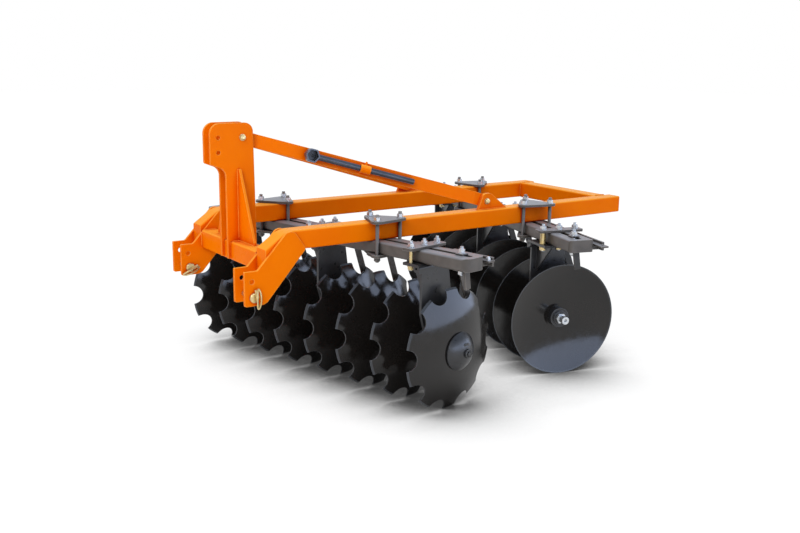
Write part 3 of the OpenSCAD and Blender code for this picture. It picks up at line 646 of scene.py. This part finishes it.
@dataclass
class Fasteners:
    """Studs, nuts and washers of the gang beams."""

    shop: Workshop
    place: GangPlace
    side_y: float
    inner_y: float
    beam_lead: float = 0.060
    beam_width: float = 0.126
    beam_low: float = 0.677
    beam_top: float = 0.735
    beam_length: float = 1.860
    frame_top: float = 0.820
    clamp_thick: float = 0.012
    rod_radius: float = 0.009
    rod_gap: float = 0.0015
    strap_thick: float = 0.012
    bolt_radius: float = 0.008
    bolt_lip: float = 0.022
    end_in: float = 0.084
    end_plate: float = 0.042
    end_thick: float = 0.008
    arm_thick: float = 0.010
    nut_across: float = 0.026
    nut_height: float = 0.015
    washer_radius: float = 0.017
    washer_thick: float = 0.003
    washer_hole: float = 0.007
    washer_edge: float = 0.0006
    tip: float = 0.011
    thread_in: float = 0.0025
    tip_in: float = 0.003
    front_strap: float = -0.054
    rear_strap: float = -0.205
    sleeve_radius: float = 0.014
    sleeve_edge: float = 0.0008
    plate_edge: float = 0.0016

    def rod_spots(self) -> list[tuple[float, float]]:
        """Gives the clamp rods ahead of and along the axle: two outside each side beam, one in the slot.

        Returns:
            Pairs of distances in the gang's frame.
        """
        off = self.rod_radius + self.rod_gap
        half = self.beam_width / 2 + off
        spots = []
        for side in (-1, 1):
            lean = side * math.sin(self.place.angle)
            low = min(lean * (self.beam_lead - half), lean * (self.beam_lead + half))
            out = (self.side_y + off - low) / math.cos(self.place.angle)
            inner = (self.inner_y - off - lean * self.beam_lead) / math.cos(self.place.angle)
            spots += [(self.beam_lead + half, side * out), (self.beam_lead, side * inner)]
            spots.append((self.beam_lead - half, side * out))
        return spots

    def strap_spots(self) -> list[tuple[float, float]]:
        """Gives the strap bolts: three across the beam at each of the three bearings.

        Returns:
            Pairs of distances in the gang's frame.
        """
        offset = self.front_strap if self.place.way > 0 else self.rear_strap
        reach = self.beam_width / 2 + self.bolt_lip
        spots = []
        for bearing in self.place.bearings:
            along = self.place.gap(bearing) + self.place.way * offset
            spots += [(self.beam_lead + x, along) for x in (-reach, 0.0, reach)]
        return spots

    def nut_stack(self, height: float, down: bool) -> list[Shell]:
        """Makes a washer and a nut on a face.

        Args:
            height: height of the face.
            down: the stack hangs under the face.

        Returns:
            The two shells about the z axis.
        """
        r, t, cut, hole = self.washer_radius, self.washer_thick, self.washer_edge, self.washer_hole
        washer = lathe([[hole, 0], [r - cut, 0], [r, cut], [r, t - cut], [r - cut, t], [hole, t]])
        nut = hex_nut(self.nut_across, self.nut_height, self.bolt_radius * 0.9).moved((0, 0, t))
        flip = np.diag([1.0, 1.0, -1.0]) if down else np.eye(3)
        return [shell.turned(flip).moved((0, 0, height)) for shell in (washer, nut)]

    def bar(self, radius: float, low: float, high: float) -> Shell:
        """Gives a stud that is threaded past its two outer faces."""
        stack = self.washer_thick + self.nut_height
        start, end = low - stack - self.tip / 2, high + stack + self.tip
        ends = [(start + self.thread_in, low), (high, end - self.thread_in)]
        return stud(radius, start, end, ends)

    def tips(self, radius: float, low: float, high: float) -> list[Shell]:
        """Gives the two threaded ends of a stud alone."""
        stack = self.washer_thick + self.nut_height
        start, end = low - stack - self.tip / 2, high + stack + self.tip
        return [stud(radius, start, low, [(start + self.thread_in, low - self.tip_in)]),
                stud(radius, high, end, [(high + self.tip_in, end - self.thread_in)])]

    def build(self) -> None:
        """Makes the clamp rods, strap bolts and end bolts with their nuts."""
        name, put = self.place.name, self.place.put
        low, high = self.beam_low - self.clamp_thick, self.frame_top + self.clamp_thick
        rods = [put(self.bar(self.rod_radius, low, high), w, t, 0.0) for w, t in self.rod_spots()]
        rods += [put(shell, w, t, 0.0) for w, t in self.rod_spots() for shell in self.nut_stack(low, True)]
        nuts = [put(shell, w, t, 0.0) for w, t in self.rod_spots() for shell in self.nut_stack(high, False)]
        self.shop.piece(name + "_clamp_studs", rods, Slot.STEEL, Body.FRAME, [name + "_clamp_rods"])
        self.shop.piece(name + "_clamp_nuts", nuts, Slot.ZINC, Body.FRAME, [name + "_clamp_rods"])
        low, high = self.beam_low - self.strap_thick, self.beam_top + self.strap_thick
        bolts = [put(stud(self.bolt_radius, low, high, []), w, t, 0.0) for w, t in self.strap_spots()]
        if self.place.way < 0:
            r, cut, tall = self.sleeve_radius, self.sleeve_edge, self.beam_top - self.beam_low
            wall = [[r - cut, 0.0], [r, cut], [r, tall - cut], [r - cut, tall]]
            sleeve = lathe([[0.0, 0.0], *wall, [0.0, tall]])
            bolts += [put(sleeve, w, t, self.beam_low) for w, t in self.strap_spots() if w != self.beam_lead]
        bolts += [put(shell, w, t, 0.0) for w, t in self.strap_spots() for shell in self.nut_stack(low, True)]
        nuts = [put(shell, w, t, 0.0) for w, t in self.strap_spots()
                for shell in self.nut_stack(high, False) + self.tips(self.bolt_radius, low, high)]
        self.shop.piece(name + "_strap_studs", bolts, Slot.GOLD, Body.FRAME, [name + "_strap_bolts"])
        self.shop.piece(name + "_strap_nuts", nuts, Slot.ZINC, Body.FRAME, [name + "_strap_bolts"])
        low, high = self.beam_low - self.arm_thick, self.beam_top + self.end_thick
        spots = [(self.beam_lead, side * (self.beam_length / 2 - self.end_in)) for side in (-1, 1)]
        plate = block((self.end_plate, self.end_plate, self.end_thick), self.plate_edge)
        plates = [put(plate, w, t, self.beam_top) for w, t in spots]
        bolts = [put(self.bar(self.bolt_radius, low, high), w, t, 0.0) for w, t in spots]
        nuts = [put(shell, w, t, 0.0) for w, t in spots
                for shell in self.nut_stack(high, False) + self.nut_stack(low, True)]
        self.shop.piece(name + "_end_plates", plates, Slot.STEEL, Body.FRAME, [name + "_end_bolts"])
        self.shop.piece(name + "_end_studs", bolts + nuts, Slot.ZINC, Body.FRAME, [name + "_end_bolts"])


@dataclass(frozen=True)
class BoltEnd:
    """Nut on the end of a bolt: width over the flats, nut's height, bolt's radius and length."""

    across: float
    height: float
    radius: float
    length: float
    thread_end: float
    bore: float = 0.004
    turns: int = 24

    def shell(self) -> Shell:
        """Gives the nut and the bolt's end, standing on z 0."""
        bolt = stud(self.radius, 0.0, self.length, [(self.height, self.thread_end)])
        return merged([hex_nut(self.across, self.height, self.bore, self.turns), bolt])


FOOT_BOLT = BoltEnd(0.019, 0.009, 0.0058, 0.013, 0.012, turns=12)
PLATE_BOLT = BoltEnd(0.021, 0.012, 0.0068, 0.018, 0.017)


@dataclass
class ScraperFixings:
    """Nuts that hold each scraper's foot to its bar, and the nuts on the bar's end plates."""

    shop: Workshop
    place: GangPlace
    bar_x: float = -0.056
    foot: float = 0.016
    height: float = 0.701
    stalk_back: float = 0.084
    plate_reach: float = 0.005
    plate_half: float = 0.020
    plate_top: float = 0.709
    sink: float = 0.002
    half_beam: float = 0.930

    def build(self) -> None:
        """Makes one bolt head for each scraper, and in front a nut for each end plate."""
        back = np.array([[0.0, 0.0, -1.0], [0.0, 1.0, 0.0], [1.0, 0.0, 0.0]])
        nut = FOOT_BOLT.shell().turned(back)
        shells = []
        count = self.place.count
        for number in range(1, count) if self.place.way > 0 else range(count - 1):
            along = self.place.hub(number) - self.place.way * self.stalk_back
            shells.append(self.place.put(nut, self.bar_x - self.foot, along, self.height))
        top = PLATE_BOLT.shell()
        for side in (-1, 1) if self.place.way > 0 else ():
            spot = side * (self.half_beam + self.plate_reach - self.plate_half)
            shells.append(self.place.put(top, self.bar_x + self.plate_half, spot, self.plate_top - self.sink))
        self.shop.piece(self.place.name + "_scraper_nuts", shells, Slot.ZINC, Body.FRAME)


@dataclass
class Hitch:
    """Linchpins on the lower link pins, and the bolts of the braces."""

    shop: Workshop
    wire: float = 0.0040
    loop_width: float = 0.017
    loop_height: float = 0.086
    loop_at: tuple[float, float, float] = (-0.014, 0.0042, -0.005)
    loop_bow: float = 0.010
    loop_steps: int = 40
    peg_at: tuple[float, float, float] = (-0.008, 0.002, 0.0)
    peg_half: tuple[float, float, float] = (0.006, 0.0, 0.036)
    peg_radius: float = 0.0050
    peg_steps: int = 8
    right_swing: float = -70
    mast_bolt_back: float = 0.156
    mast_bolt_drop: float = 0.065
    lug_bolt_back: float = 0.053
    lug_bolt_rise: float = 0.040
    lug_span: float = 0.031
    washer_radius: float = 0.015
    washer_edge: float = 0.0008
    washer_thick: float = 0.003
    head_across: float = 0.023
    head_height: float = 0.008
    nut_across: float = 0.024
    nut_height: float = 0.011
    nut_bore: float = 0.006
    bolt_radius: float = 0.0085
    bolt_out: float = 0.001
    bolt_head: float = 0.013
    thread_end: float = 0.0125

    def linchpin(self, node: str, turn: float) -> Shell:
        """Makes a spring pin: a peg through the link pin's head and a wire loop that closes over it.

        The loop follows an ellipse that is narrow across the face and taller than the head.

        Args:
            node: link pin that it locks; both heads face left.
            turn: how far the loop is swung round the link pin.

        Returns:
            The linchpin in the machine's frame.
        """
        low, high = (np.asarray(v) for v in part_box(node))
        middle = (low + high) / 2
        angle = around(self.loop_steps)
        bow = self.loop_bow * np.cos(angle) ** 2
        across, out, up = self.loop_at
        loop = np.stack([across - self.loop_width / 2 * np.cos(angle), out + bow,
                         up + self.loop_height / 2 * np.sin(angle)], axis=-1)
        share = np.linspace(-1.0, 1.0, self.peg_steps)[:, None]
        peg = np.array(self.peg_at) + share * np.array(self.peg_half)
        wire = sweep(loop, np.full(self.loop_steps, self.wire), (0.0, 1.0, 0.0), 8, closed=True)
        bar = sweep(peg, np.full(self.peg_steps, self.peg_radius), (0.0, 1.0, 0.0), 10)
        swing = np.asarray(Matrix.Rotation(turn, 3, "Y"))
        return merged([wire, bar]).turned(swing).moved((middle[0], high[1], middle[2]))

    def build(self) -> None:
        """Makes both linchpins and the chamfered heads and nuts of the brace bolts."""
        swing = math.radians(self.right_swing)
        pins = [self.linchpin("link_pin_left", 0.0), self.linchpin("link_pin_right", swing)]
        self.shop.piece("linchpins", pins, Slot.GOLD, Body.FRAME)
        low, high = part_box("brace_bolts")
        mast_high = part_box("mast_plate_left")[1]
        lug_low, lug_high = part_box("brace_lugs")
        middle = (low[1] + high[1]) / 2
        mast_out, lug_out = mast_high[1] - middle, lug_high[1] - middle
        mast_spot = (mast_high[0] - self.mast_bolt_back, mast_high[2] - self.mast_bolt_drop)
        lug_spot = (lug_high[0] - self.lug_bolt_back, lug_low[2] + self.lug_bolt_rise)
        bolts = [(1, mast_spot, mast_out, 2 * mast_out), (1, lug_spot, lug_out, self.lug_span),
                 (-1, lug_spot, lug_out, self.lug_span)]
        r, t, cut = self.washer_radius, self.washer_thick, self.washer_edge
        washer = lathe([[0.0, 0.0], [r - cut, 0.0], [r, cut], [r, t], [0.0, t]])
        head = hex_nut(self.head_across, self.head_height, self.nut_bore).moved((0, 0, t))
        thread = (t + self.head_height, self.thread_end)
        shells = []
        for side, (x, z), out, span in bolts:
            axes = np.array([[1.0, 0.0, 0.0], [0.0, 0.0, side], [0.0, 1.0, 0.0]])
            foot = -span - self.nut_height
            bolt = stud(self.bolt_radius, foot - self.bolt_out, self.bolt_head, [thread])
            far = hex_nut(self.nut_across, self.nut_height, self.nut_bore).moved((0, 0, foot))
            spot = (x, middle + side * out, z)
            shells += [shell.turned(axes).moved(spot) for shell in (washer, head, bolt, far)]
        self.shop.piece("brace_bolt_set", shells, Slot.GOLD, Body.FRAME, ["brace_bolts"])


@dataclass
class FrameWelds:
    """Weld beads where the frame's plates and tubes meet."""

    shop: Workshop
    edge: float = 0.008
    corner: float = 0.010
    lug_thick: float = 0.016
    lug_in: float = 0.006

    def seams(self) -> list[tuple[Point, Point]]:
        """Gives both ends of each seam, worked out from the boxes of the pieces that it joins.

        Returns:
            Pairs of points in the machine's frame.
        """
        beam_low, beam_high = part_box("front_cross_beam")
        rear_low, rear_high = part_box("rear_cross_beam")
        gus_low, gus_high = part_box("mast_gussets")
        lug_low, lug_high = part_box("brace_lugs")
        middle = (beam_low[1] + beam_high[1]) / 2
        mast_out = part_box("mast_plate_left")[1][1] - middle
        reach = gus_high[1] - middle
        lug_out = lug_high[1] - middle
        edge = self.edge
        seams = []
        for side in (-1, 1):
            out, far = middle + side * mast_out, middle + side * reach
            seams.append(((beam_low[0] + edge, out, beam_high[2]), (beam_high[0] - edge, out, beam_high[2])))
            for x in (gus_low[0], gus_high[0]):
                seams.append(((x, out, gus_low[2]), (x, far, gus_low[2])))
                seams.append(((x, out, gus_low[2] + self.corner), (x, out, gus_high[2])))
            for y in (lug_out, lug_out - self.lug_thick):
                seams.append(((lug_low[0] + self.lug_in, middle + side * y, lug_low[2]),
                              (lug_high[0], middle + side * y, lug_low[2])))
            end = beam_high[1] if side > 0 else beam_low[1]
            for z in (beam_low[2], beam_high[2]):
                seams.append(((beam_low[0] + edge, end, z), (beam_high[0] - edge, end, z)))
            for x in (beam_low[0], beam_high[0]):
                seams.append(((x, end, beam_low[2] + edge), (x, end, beam_high[2] - edge)))
            end = rear_high[1] if side > 0 else rear_low[1]
            for z in (rear_low[2], rear_high[2]):
                seams.append(((rear_low[0] + edge, end, z), (rear_high[0] - edge, end, z)))
            for x in (rear_low[0], rear_high[0]):
                seams.append(((x, end, rear_low[2] + edge), (x, end, rear_high[2] - edge)))
        return seams

    def build(self) -> None:
        """Makes the beads as one painted piece."""
        self.shop.piece("frame_welds", [weld(a, b) for a, b in self.seams()], Slot.ORANGE, Body.FRAME)


@dataclass
class AxleEnds:
    """Lock plate over the axle head on the domed washer, and grease nipples on the bearing housings."""

    shop: Workshop
    place: GangPlace
    axle_z: float = 0.280
    dome: float = 0.0485
    nut_across: float = 0.039
    nut_height: float = 0.011
    nut_bore: float = 0.010
    nut_sink: float = 0.002
    bolt_radius: float = 0.0115
    bolt_length: float = 0.0125
    bolt_thread: tuple[float, float] = (0.0095, 0.0115)
    tab_size: tuple[float, float, float] = (0.030, 0.020, 0.005)
    tab_edge: float = 0.001
    tab_at: tuple[float, float, float] = (0.0, 0.036, -0.0105)
    front_nipple: float = -0.042
    rear_nipple: float = -0.029
    nipple_rise: float = 0.0615

    def nipple(self) -> Shell:
        """Gives a grease nipple: a collar, a neck and a round head."""
        return lathe([[0.0, 0.0], [0.0055, 0.0], [0.0055, 0.005], [0.0035, 0.007], [0.0035, 0.011],
                      [0.0042, 0.013], [0.0036, 0.0155], [0.0015, 0.0165], [0.0, 0.0165]], 12)

    def build(self) -> None:
        """Makes the lock plate on the turning gang and the nipples on the frame."""
        place = self.place
        hub = place.hub(place.count - 1 if place.way > 0 else 0)
        out = np.array([[1.0, 0.0, 0.0], [0.0, 0.0, place.way], [0.0, 1.0, 0.0]])
        nut = hex_nut(self.nut_across, self.nut_height, self.nut_bore).moved((0, 0, -self.nut_sink))
        bolt = stud(self.bolt_radius, 0.0, self.bolt_length, [self.bolt_thread])
        tab = block(self.tab_size, self.tab_edge).moved(self.tab_at)
        shells = [place.put(shell.turned(out), 0.0, hub + place.way * self.dome, self.axle_z)
                  for shell in (nut, bolt, tab)]
        self.shop.piece(place.name + "_axle_lock", shells, Slot.CASTING, place.body)
        offset = place.way * (self.front_nipple if place.way > 0 else self.rear_nipple)
        shells = [place.put(self.nipple(), 0.0, place.gap(bearing) + offset, self.axle_z + self.nipple_rise)
                  for bearing in place.bearings]
        self.shop.piece(place.name + "_grease_nipples", shells, Slot.GOLD, Body.FRAME)


@dataclass
class Studio:
    """Floor, lights, backdrop and camera.

    The floor darkens where the machine shuts out the sky, more on the side away from the hitch.
    """

    eye: tuple[float, float, float] = (2.880374, 4.045122, 1.591820)
    yaw: float = -2.17739197
    pitch: float = 0.22132631
    roll: float = 0.01304071
    focal: float = 43.6306
    backdrop: str = "#FFFFFF"
    sky: str = "#B7CBEA"
    floor_lift: float = 0.8
    shade: str = "#3C3C3C"
    shade_reach: float = 0.6
    shade_range: tuple[float, float] = (0.36, 0.97)
    shade_way: tuple[float, float, float] = (0.1994, -0.1382, 0.9701)
    glow: float = 1.08
    pale: tuple[str, str] = ("#FCFCFC", "#FEFEFE")
    cloud: float = 0.8
    half_floor: float = 30.0
    room: str = "#F6F8FB"
    sky_range: tuple[float, float] = (0.08, 0.7)
    room_level: tuple[float, float] = (0.3, 1.3)

    def seen(self, tree: Any) -> Any:
        """Tells whether the camera, a reflection or a clear piece looks at the backdrop.

        Args:
            tree: node tree.

        Returns:
            Socket with 1 for such a ray and 0 for a ray of light.
        """
        path = add(tree, "ShaderNodeLightPath", {}, {})
        seen = path.outputs["Is Camera Ray"]
        for ray in ("Is Glossy Ray", "Is Transmission Ray"):
            larger = add(tree, "ShaderNodeMath", {"operation": "MAXIMUM"}, {0: seen, 1: path.outputs[ray]})
            seen = larger.outputs[0]
        return seen

    def floor(self) -> None:
        """Lays a pale floor that takes the shadow, lifted to white where it is seen."""
        half = self.half_floor
        mesh = bpy.data.meshes.new("studio_floor")
        corners = [(-half, -half, 0.0), (half, -half, 0.0), (half, half, 0.0), (-half, half, 0.0)]
        mesh.from_pydata(corners, [], [(0, 1, 2, 3)])
        obj = bpy.data.objects.new("studio_floor", mesh)
        bpy.context.scene.collection.objects.link(obj)
        material = bpy.data.materials.new("matt_white_studio_floor")
        material.use_nodes = True
        tree = material.node_tree
        tree.nodes.clear()
        place = add(tree, "ShaderNodeTexCoord", {}, {}).outputs["Object"]
        cloud = add(tree, "ShaderNodeTexNoise", {}, {"Vector": place, "Scale": self.cloud})
        lean = add(tree, "ShaderNodeCombineXYZ", {}, dict(enumerate(self.shade_way)))
        open_sky = add(tree, "ShaderNodeAmbientOcclusion", {"samples": 16}, {
            "Distance": self.shade_reach, "Normal": lean.outputs[0]})
        shade = add(tree, "ShaderNodeMapRange", {"interpolation_type": "SMOOTHSTEP"}, {
            0: open_sky.outputs["AO"], 1: self.shade_range[0], 2: self.shade_range[1]})
        pale = add(tree, "ShaderNodeMix", {"data_type": "RGBA"}, {
            0: cloud.outputs[0], 6: linear(self.pale[0]), 7: linear(self.pale[1])})
        tone = add(tree, "ShaderNodeMix", {"data_type": "RGBA"}, {
            0: shade.outputs[0], 6: linear(self.shade), 7: pale.outputs[2]})
        shader = add(tree, "ShaderNodeBsdfDiffuse", {}, {"Color": tone.outputs[2]})
        lift = add(tree, "ShaderNodeMath", {"operation": "MULTIPLY"}, {
            0: self.seen(tree), 1: self.floor_lift})
        glow = add(tree, "ShaderNodeEmission", {}, {"Color": tone.outputs[2], "Strength": self.glow})
        both = add(tree, "ShaderNodeMixShader", {}, {
            0: lift.outputs[0], 1: shader.outputs[0], 2: glow.outputs[0]})
        add(tree, "ShaderNodeOutputMaterial", {}, {"Surface": both.outputs[0]})
        mesh.materials.append(material)

    def world(self) -> None:
        """Lights the room evenly; what the camera and reflections see is white, paler blue overhead."""
        world = bpy.data.worlds.new("studio_room")
        bpy.context.scene.world = world
        world.use_nodes = True
        tree = world.node_tree
        tree.nodes.clear()
        way = add(tree, "ShaderNodeTexCoord", {}, {}).outputs["Generated"]
        parts = add(tree, "ShaderNodeSeparateXYZ", {}, {0: way})
        rise = add(tree, "ShaderNodeMapRange", {}, {
            0: parts.outputs[2], 1: self.sky_range[0], 2: self.sky_range[1]})
        sky = add(tree, "ShaderNodeMix", {"data_type": "RGBA"}, {
            0: rise.outputs[0], 6: linear(self.backdrop), 7: linear(self.sky)})
        shown = add(tree, "ShaderNodeBackground", {}, {"Color": sky.outputs[2], "Strength": 1.0})
        level = add(tree, "ShaderNodeMapRange", {}, {
            0: parts.outputs[2], 1: 0.0, 2: 1.0, 3: self.room_level[0], 4: self.room_level[1]})
        light = add(tree, "ShaderNodeBackground", {}, {
            "Color": linear(self.room), "Strength": level.outputs[0]})
        mix = add(tree, "ShaderNodeMixShader", {}, {
            0: self.seen(tree), 1: light.outputs[0], 2: shown.outputs[0]})
        add(tree, "ShaderNodeOutputWorld", {}, {"Surface": mix.outputs[0]})

    def lamp(self, name: str, spot: Point, aim: Point, size: Point, power: float, tone: str,
             lights: bool = True) -> None:
        """Hangs a softbox.

        Args:
            name: name of the lamp.
            spot: where it hangs.
            aim: point that it faces.
            size: width and height of the softbox.
            power: power in watts.
            tone: colour of its light.
            lights: it lights matt surfaces too; otherwise it only shows in glossy ones.
        """
        data = bpy.data.lights.new(name, "AREA")
        data.shape, data.energy = "RECTANGLE", power
        data.size, data.size_y = size
        data.color = linear(tone)[:3]
        obj = bpy.data.objects.new(name, data)
        obj.location = spot
        obj.visible_diffuse = lights
        obj.rotation_euler = (Vector(aim) - Vector(spot)).to_track_quat("-Z", "Y").to_euler()
        bpy.context.scene.collection.objects.link(obj)

    def camera(self) -> None:
        """Sets the camera at the photograph's place, direction and lens."""
        cos_p, sin_p = math.cos(self.pitch), math.sin(self.pitch)
        ahead = np.array([math.cos(self.yaw) * cos_p, math.sin(self.yaw) * cos_p, -sin_p])
        right = np.cross(ahead, (0.0, 0.0, 1.0))
        right = right / np.linalg.norm(right)
        up = np.cross(right, ahead)
        cos_r, sin_r = math.cos(self.roll), math.sin(self.roll)
        axes = np.eye(4)
        axes[:3, 0] = cos_r * right + sin_r * up
        axes[:3, 1] = cos_r * up - sin_r * right
        axes[:3, 2] = -ahead
        axes[:3, 3] = self.eye
        data = bpy.data.cameras.new("studio_camera")
        data.sensor_fit, data.sensor_width, data.lens = "HORIZONTAL", 36.0, self.focal
        obj = bpy.data.objects.new("studio_camera", data)
        obj.matrix_world = Matrix(axes.tolist())
        bpy.context.scene.collection.objects.link(obj)
        bpy.context.scene.camera = obj

    def build(self) -> None:
        """Sets up the whole studio."""
        bpy.context.scene.view_settings.view_transform = "Standard"
        self.floor()
        self.world()
        self.lamp("key_softbox", (4.8, 3.2, 4.4), (0.0, 0.0, 0.6), (2.6, 2.6), 125.0, "#FFFFFF")
        self.lamp("sky_softbox", (-1.965, 4.82, 1.5), (0.635, 0.77, 0.45), (12.5, 1.9), 313.0, "#BACDF2",
                  lights=False)
        self.camera()


def dress_nodes(frame: dict[str, Any], materials: dict[Slot, Any], own: dict[str, Any]) -> None:
    """Gives every CAD node the finish of its slot.

    Args:
        frame: the loaded frame.
        materials: material of each slot.
        own: materials of the nodes that have one of their own.
    """
    slots = {part["node"]: Slot(part["material_slot"]) for part in frame["record"]["subparts"]}
    for name, obj in frame["nodes"].items():
        material = own.get(name, materials[slots[name]])
        if not obj.material_slots:
            obj.data.materials.append(material)
        for holder in obj.material_slots:
            holder.material = material
        LOG.info("%s: %s", name, material.name)


def main() -> None:
    logging.basicConfig(level=logging.INFO, format="%(name)s %(message)s")
    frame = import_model()
    Studio().build()
    materials = {Slot.ORANGE: ENAMEL.build(), Slot.STEEL: STEEL.build(), Slot.CASTING: CASTING.build(),
                 Slot.ZINC: ZINC.build(), Slot.GOLD: GOLD.build(), Slot.TOOL: TOOL.build()}
    places = gang_places(frame["record"])
    discs = {}
    for place in places:
        finish = DiscFinish(**DISC, origin=place.origin, angle=place.angle, rim_start=RIM_START)
        discs[place.name + "_discs"] = finish.build()
    materials[Slot.DISC] = discs["front_discs"]
    # The rear scrapers take a darker copy of the steel: painted shade.
    dress_nodes(frame, materials, discs | {"rear_scrapers": SHADED_STEEL.build()})
    shop = Workshop(materials)
    beam_low, beam_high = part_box("side_beam_left")
    middle = places[0].origin[1]
    for place in places:
        Fasteners(shop, place, beam_high[1] - middle, beam_low[1] - middle).build()
        ScraperFixings(shop, place).build()
        AxleEnds(shop, place).build()
    Hitch(shop).build()
    FrameWelds(shop).build()


if __name__ == "__main__":
    main()
